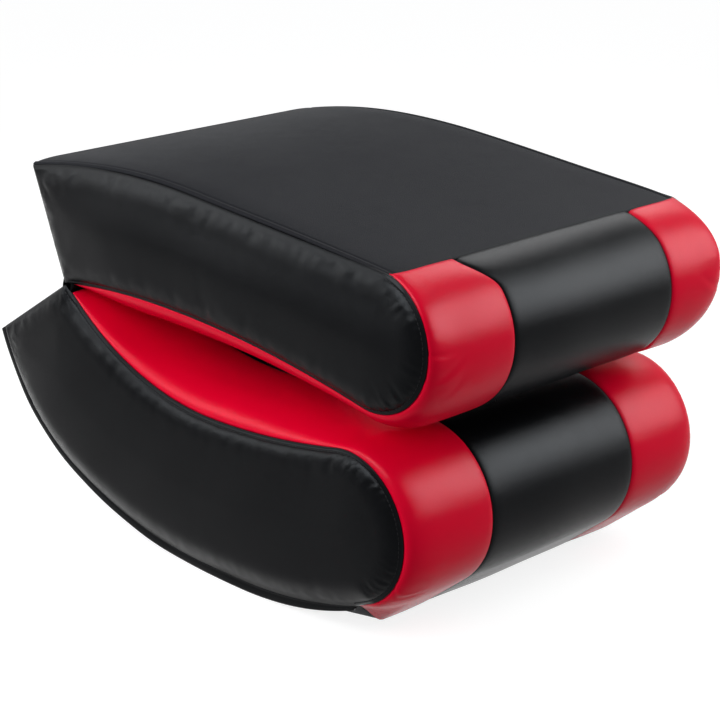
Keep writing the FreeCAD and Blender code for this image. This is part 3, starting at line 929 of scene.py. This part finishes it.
def sheetAcross(name, form, part, material, hem=0.0, clear=False, tips=0.0, sag=0.0, seed=3):
    hemMarks = [m for s in sole["hemSteps"] for m in (halfWidth - s, s - halfWidth)]
    inner = halfWidth - sole["hemSteps"][-1] - sole["hemGap"]
    marks = [m for m in stations(-halfWidth, halfWidth) if abs(m) < inner]
    marks = sorted(set(marks + hemMarks))
    counts = form["counts"][form[part]]
    rows = []
    for x in marks:
        pieces = form["outline"](halfWidth - abs(x))[form[part]]
        points = travelled(pieces, counts)
        if clear:
            away = points[-1] - points[0]
            kept = 1 - chair["endClear"] / abs(away)
            points = points[0] + away * np.linspace(0, kept, len(points))
        row = place(points, x)
        over = math.copysign(sole["overhang"], x) * hem
        row[:, 0] += over * (abs(x) / halfWidth) ** sole["overhangPower"]
        rows.append(row)
    grid = np.stack(rows)
    normals = gridNormals(grid, form["side"])
    fromEdge = halfWidth - np.abs(np.array(marks))
    rise = sole["hemRise"] * bell(fromEdge - sole["hem"] / 2, sole["hemRiseWidth"])
    groove = sole["hemGroove"] * bell(fromEdge - sole["hem"], sole["hemWidth"])
    ends = np.sin(np.pi * np.linspace(0, 1, grid.shape[1])) ** sole["endPower"]
    waves = gridRipple(grid, sole["wave"], seed)
    push = hem * (rise - groove)[:, None] + waves * sole["waveHeight"] * ends[None, :] * hem
    push = push - sag * np.outer(np.minimum(1, fromEdge / sole["sagRun"]) ** 0.5, ends)
    grid = grid + normals * push[:, :, None]
    if tips:                                     # the sewn front corners stand out a little
        fromSide = np.abs(grid[:, 0, 0] - np.sign(grid[:, 0, 0]) * halfWidth)[:, None]
        fromFront = np.linalg.norm(grid - grid[:, :1], axis=2)
        corner = np.exp(-fromSide / sole["tipRun"]) * np.exp(-fromFront / sole["tipRun"])
        grid[:, :, 1] -= corner * sole["tipReach"] * tips
        grid[:, :, 2] -= corner * sole["tipDrop"] * tips
    return gridSheet(name, form, grid, material, sole["skin"])


seatBase = sheetAcross("seatBase", seatForm, "sole", panelVinyl, seed=21)
seatEnd = sheetAcross("seatEnd", seatForm, "end", blackVinyl, clear=True, sag=sole["endSag"])
backPanel = sheetAcross("backPanel", backForm, "sole", panelVinyl, hem=1.0, tips=1.0, seed=22)
backEnd = sheetAcross("backEnd", backForm, "end", blackVinyl, sag=sole["endSag"], clear=True)
print("soles and ends made")


# Base fins: the two layers of cover sewn together that stand down from the base's side seams
fin = {
    "steps": (0, 0.12, 0.24, 0.32, 0.45, 0.6, 0.8, 1.0),
    "thickness": 0.0022, "inset": 0.0006, "wave": 0.09, "waveHeight": 0.0007,
    "stitchAt": 0.28, "stitchWidth": 0.08, "stitchDepth": 0.0006,
}


def makeFin(name, side, seed):
    form = seatForm
    pieces = form["outline"](0.0)[form["sole"]]
    counts = form["counts"][form["sole"]]
    seam = travelled(pieces, counts)
    edge = travelled(baseRun(0.0, form["flangeFront"]), counts)
    rows = [place(seam + (edge - seam) * step, side * (halfWidth - fin["inset"]))
            for step in fin["steps"]]
    grid = np.stack(rows)
    waves = gridRipple(grid, fin["wave"], seed)
    steps = np.array(fin["steps"])
    grid[:, :, 0] += side * waves * fin["waveHeight"] * steps[:, None]
    groove = bell(steps - fin["stitchAt"], fin["stitchWidth"])
    grid[:, :, 0] -= side * fin["stitchDepth"] * groove[:, None]
    points = grid.reshape(-1, 3)
    faces = turnedOut(points, gridFaces(*grid.shape[:2]), side)
    return thicken(makeMesh(name, points, faces, blackVinyl), fin["thickness"])


# Stitches: one short thread each, sunk at both ends
stitch = {
    "pitch": 0.0046, "length": 0.0034, "radius": 0.00042, "sink": 0.0002,
    "rings": (0.0, 0.2, 0.5, 0.8, 1.0), "sides": 6,
    "tip": 0.55, "belly": 0.45,  # its thickness at the ends, and how much is added midway
    "column": 0.0004, "row": 0.0012, "underSkin": 0.0006,  # how the hem's places are told apart
}


def stitchRow(name, path, normals, material):
    gaps = np.linalg.norm(np.diff(path, axis=0), axis=1)
    along = np.concatenate([[0.0], np.cumsum(gaps)])
    verts, faces = [], []
    rings, sides = stitch["rings"], stitch["sides"]
    for start in np.arange(stitch["pitch"], along[-1] - stitch["pitch"], stitch["pitch"]):
        ends = [np.array([np.interp(at, along, path[:, k]) for k in range(3)])
                for at in (start, start + stitch["length"])]
        up = np.array([np.interp(start, along, normals[:, k]) for k in range(3)])
        up /= np.linalg.norm(up)
        sideways = np.cross(ends[1] - ends[0], up)
        sideways *= stitch["radius"] / np.linalg.norm(sideways)
        base = len(verts)
        for share in rings:
            arch = math.sin(math.pi * share)
            lift = stitch["radius"] * arch - stitch["sink"]
            centre = ends[0] + (ends[1] - ends[0]) * share + up * lift
            wide = stitch["tip"] + stitch["belly"] * arch
            for turn in range(sides):
                angle = turn * 2 * math.pi / sides
                verts.append(centre + sideways * (wide * math.cos(angle))
                             + up * (stitch["radius"] * wide * math.sin(angle)))
        faces.extend(gridFaces(len(rings), sides, base, closed=True))
        faces.append(tuple(range(base + sides - 1, base - 1, -1)))
        faces.append(tuple(range(len(verts) - sides, len(verts))))
    return makeMesh(name, verts, faces, material)


def lipStitches(form, side):
    cover = sideCovers[form["half"] + ("Left" if side < 0 else "Right")]
    outline = inset(form["outline"](0.0), sideCover["lip"], form["side"])
    faceRun = travelled(outline[form["face"]], form["counts"][form["face"]])
    lean = leanAt(form, faceRun)
    path = place(faceRun + chair["swellShift"] * lean, 0.0)
    vertices = cover.data.vertices
    finder = finderOf([(0.0, vertex.co.y, vertex.co.z) for vertex in vertices])
    for row in path:
        found = finder.find_n((0.0, row[1], row[2]), 4)
        row[0] = side * max(side * vertices[index].co.x for _, index, _ in found)
    outward = np.tile((float(side), 0.0, 0.0), (len(path), 1))
    name = form["half"] + ("LeftStitches" if side < 0 else "RightStitches")
    return stitchRow(name, path, outward, threadBlack)


def hemStitches(side):
    grid = np.array([vertex.co for vertex in backPanel.data.vertices])
    line = grid[np.abs(grid[:, 0] - side * (halfWidth - sole["hem"])) < stitch["column"]]
    line = line[np.argsort(line[:, 1])]
    keep = []
    for point in line:                           # the upper skin only
        same = line[np.abs(line[:, 1] - point[1]) < stitch["row"]]
        if point[2] >= same[:, 2].max() - stitch["underSkin"]:
            keep.append(point)
    path = np.array(keep)[2:-3]                  # the thread ends short of the sheet's ends
    up = np.tile((0.0, 0.0, 1.0), (len(path), 1))
    name = "panelLeftStitches" if side < 0 else "panelRightStitches"
    return stitchRow(name, path, up, threadBlack)


seatFins = [makeFin("seatFinLeft", -1, 31), makeFin("seatFinRight", 1, 32)]
print("fins made")


# Knee sleeve: the cover goes round the fold in one soft tube
sleeve = {
    "radius": 0.0112, "backRadius": 0.0050, "skin": 0.0011, "turns": 44, "along": 0.006,
    "blendHalf": 0.005, "pastSeams": 0.001,
    "wave": 0.07, "waveShare": 0.05, "slimmer": 0.04, "seed": 41,  # as shares of its radius
}


def makeSleeve():
    angles = np.linspace(0, 2 * np.pi, sleeve["turns"], endpoint=False)
    rear = math.radians((seatForm["endAngle"] + backForm["endAngle"]) / 2)
    facing = np.maximum(0, np.cos(angles - rear))
    radius = sleeve["radius"] + (sleeve["backRadius"] - sleeve["radius"]) * facing
    ring = knee + radius * np.exp(1j * angles)
    count = math.ceil(2 * halfWidth / sleeve["along"])
    reach = halfWidth + sleeve["pastSeams"]
    xs = np.linspace(-reach, reach, count + 1)
    grid = np.stack([place(ring, x) for x in xs])
    waves = gridRipple(grid, sleeve["wave"], sleeve["seed"])
    centre = place(np.array([knee]), 0.0)[0]
    away = grid - centre
    away[:, :, 0] = 0
    grid = grid - away * (sleeve["slimmer"] + sleeve["waveShare"] * waves[:, :, None])
    faces = gridFaces(*grid.shape[:2], closed=True)
    piece = makeMesh("kneeSleeve", grid.reshape(-1, 3), faces, blackVinyl)
    piece.data.flip_normals()
    return thicken(piece, sleeve["skin"])


kneeSleeve = makeSleeve()
print("knee sleeve made")

stitches = {half: [lipStitches(form, side) for side in (-1, 1)]
            for half, form in (("seat", seatForm), ("back", backForm))}
stitches["back"] += [hemStitches(side) for side in (-1, 1)]
print("stitches made")

# What rides on what
for half in ("seat", "back"):
    for word, node in (("RedLeft", "red_left"), ("BlackCentre", "black_centre"),
                       ("RedRight", "red_right")):
        piece = faceStrips[half + word]
        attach(piece, half)
        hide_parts(half + "_cover_" + node)
    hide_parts(half + "_face_foam", half + "_nose_foam")
    for word in ("Left", "Right"):
        piece = sideCovers[half + word]
        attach(piece, half)
        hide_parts(half + "_side_cover_" + word.lower(), half + "_side_pad_" + word.lower())
for half, rows in stitches.items():
    for piece in rows:
        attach(piece, half)
for piece in seatFins:
    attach(piece, "seat")
reach = heading((seatForm["endAngle"] + backForm["endAngle"]) / 2 - 90) * sleeve["blendHalf"]
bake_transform(kneeSleeve)
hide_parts("knee_flap")
for piece, half, node, slot in ((seatBase, "seat", "seat_base_cover", "panel_cloth"),
                                (seatEnd, "seat", "seat_end_cover", "vinyl_black"),
                                (backPanel, "back", "back_panel_cover", "panel_cloth"),
                                (backEnd, "back", "back_end_cover", "vinyl_black")):
    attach(piece, half)
    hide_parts(node)


# Studio
studio = {
    "floorSize": 14.0, "floorColour": (0.36, 0.36, 0.36, 1), "floorGlow": 0.84,
    "world": (0.97, 0.985, 1.0, 1), "worldStrength": 0.40,
    "aim": (0.0, -0.2, 0.26),
    # each lamp's place from the aim, the way its length lies, its length and width, and its glow
    "reflected": {        # boxes that show only as reflections
        "rollBox": {"away": (1.447, -1.355, 0.953), "along": (0.0, 0.575, 0.818),
                    "size": (1.34, 1.60), "glow": 15.0},
        "browBox": {"away": (1.447, 0.488, 1.584), "along": (0.0, 0.956, -0.294),
                    "size": (0.80, 1.10), "glow": 8.6},
        "rearBox": {"away": (-1.36, 1.52, 0.98), "along": (0.0, 0.0, 1.0),
                    "size": (1.20, 1.30), "glow": 7.6},
        "leftBox": {"away": (-1.01, 0.22, 1.94), "along": (0.88, 0.0, 0.46),
                    "size": (1.45, 1.50), "glow": 15.5},
    },
    "soft": {             # and boxes that light without a reflection
        "rightSoft": {"away": (0.98, -0.85, 0.95), "along": (0.0, 0.575, 0.818),
                      "size": (1.1, 1.1), "glow": 3.4},
        "leftSoft": {"away": (-1.50, 0.72, 0.80), "along": (0.6, 1.0, 0.0),
                     "size": (1.5, 1.1), "glow": 4.3},
    },
    "cameraAt": (-1.5390, -1.6266, 0.9336), "cameraAlong": (0.6577, 0.6833, -0.3170),
    "lens": 108.98,
}


# 1 where the picture, a gloss or a clear part looks straight at it
def seenDirectly(tree):
    path = add(tree, "ShaderNodeLightPath")
    seen = mathNode(tree, "MAXIMUM", path.outputs["Is Camera Ray"], path.outputs["Is Glossy Ray"])
    return mathNode(tree, "MAXIMUM", seen, path.outputs["Is Transmission Ray"])


def makeFloor():
    half = studio["floorSize"] / 2
    corners = [(-half, -half, 0), (half, -half, 0), (half, half, 0), (-half, half, 0)]
    floor = makeMesh("floor", corners, [(0, 1, 2, 3)])
    material, tree, shader = blank("floorPaint")
    glow = mathNode(tree, "MULTIPLY", seenDirectly(tree), studio["floorGlow"])
    feed(tree, shader, {"Base Color": studio["floorColour"], "Roughness": 1.0,
                        "Specular IOR Level": 0.0, "Emission Color": (1, 1, 1, 1),
                        "Emission Strength": glow})
    floor.data.materials.append(material)


def makeLamps(kind):
    for name, values in studio[kind].items():
        length, width = values["size"]
        data = bpy.data.lights.new(name, "AREA")
        data.shape = "RECTANGLE"
        data.size, data.size_y = width, length
        data.energy = values["glow"] * math.pi * length * width
        away = Vector(values["away"])
        back = away.normalized()
        along = Vector(values["along"])
        along = (along - back * along.dot(back)).normalized()
        turn = Matrix((along.cross(back), along, back)).transposed().to_4x4()
        lamp = bpy.data.objects.new(name, data)
        lamp.matrix_world = Matrix.Translation(Vector(studio["aim"]) + away) @ turn
        lamp.visible_diffuse = kind == "soft"
        lamp.visible_glossy = kind == "reflected"
        bpy.context.scene.collection.objects.link(lamp)


def makeWorld():
    world = bpy.data.worlds.new("studio")
    world.use_nodes = True
    tree = world.node_tree
    strength = spread(tree, seenDirectly(tree), 0.0, 1.0, studio["worldStrength"], 1.0)
    feed(tree, tree.nodes["Background"], {"Color": studio["world"], "Strength": strength})
    bpy.context.scene.world = world


def makeCamera():
    data = bpy.data.cameras.new("camera")
    data.lens = studio["lens"]
    data.sensor_width = 36.0
    camera = bpy.data.objects.new("camera", data)
    camera.location = studio["cameraAt"]
    camera.rotation_euler = Vector(studio["cameraAlong"]).to_track_quat("-Z", "Y").to_euler()
    bpy.context.scene.collection.objects.link(camera)
    bpy.context.scene.camera = camera


makeFloor()
makeLamps("reflected")
makeLamps("soft")
makeWorld()
makeCamera()
bpy.context.scene.view_settings.view_transform = "Standard"
print("studio ready")
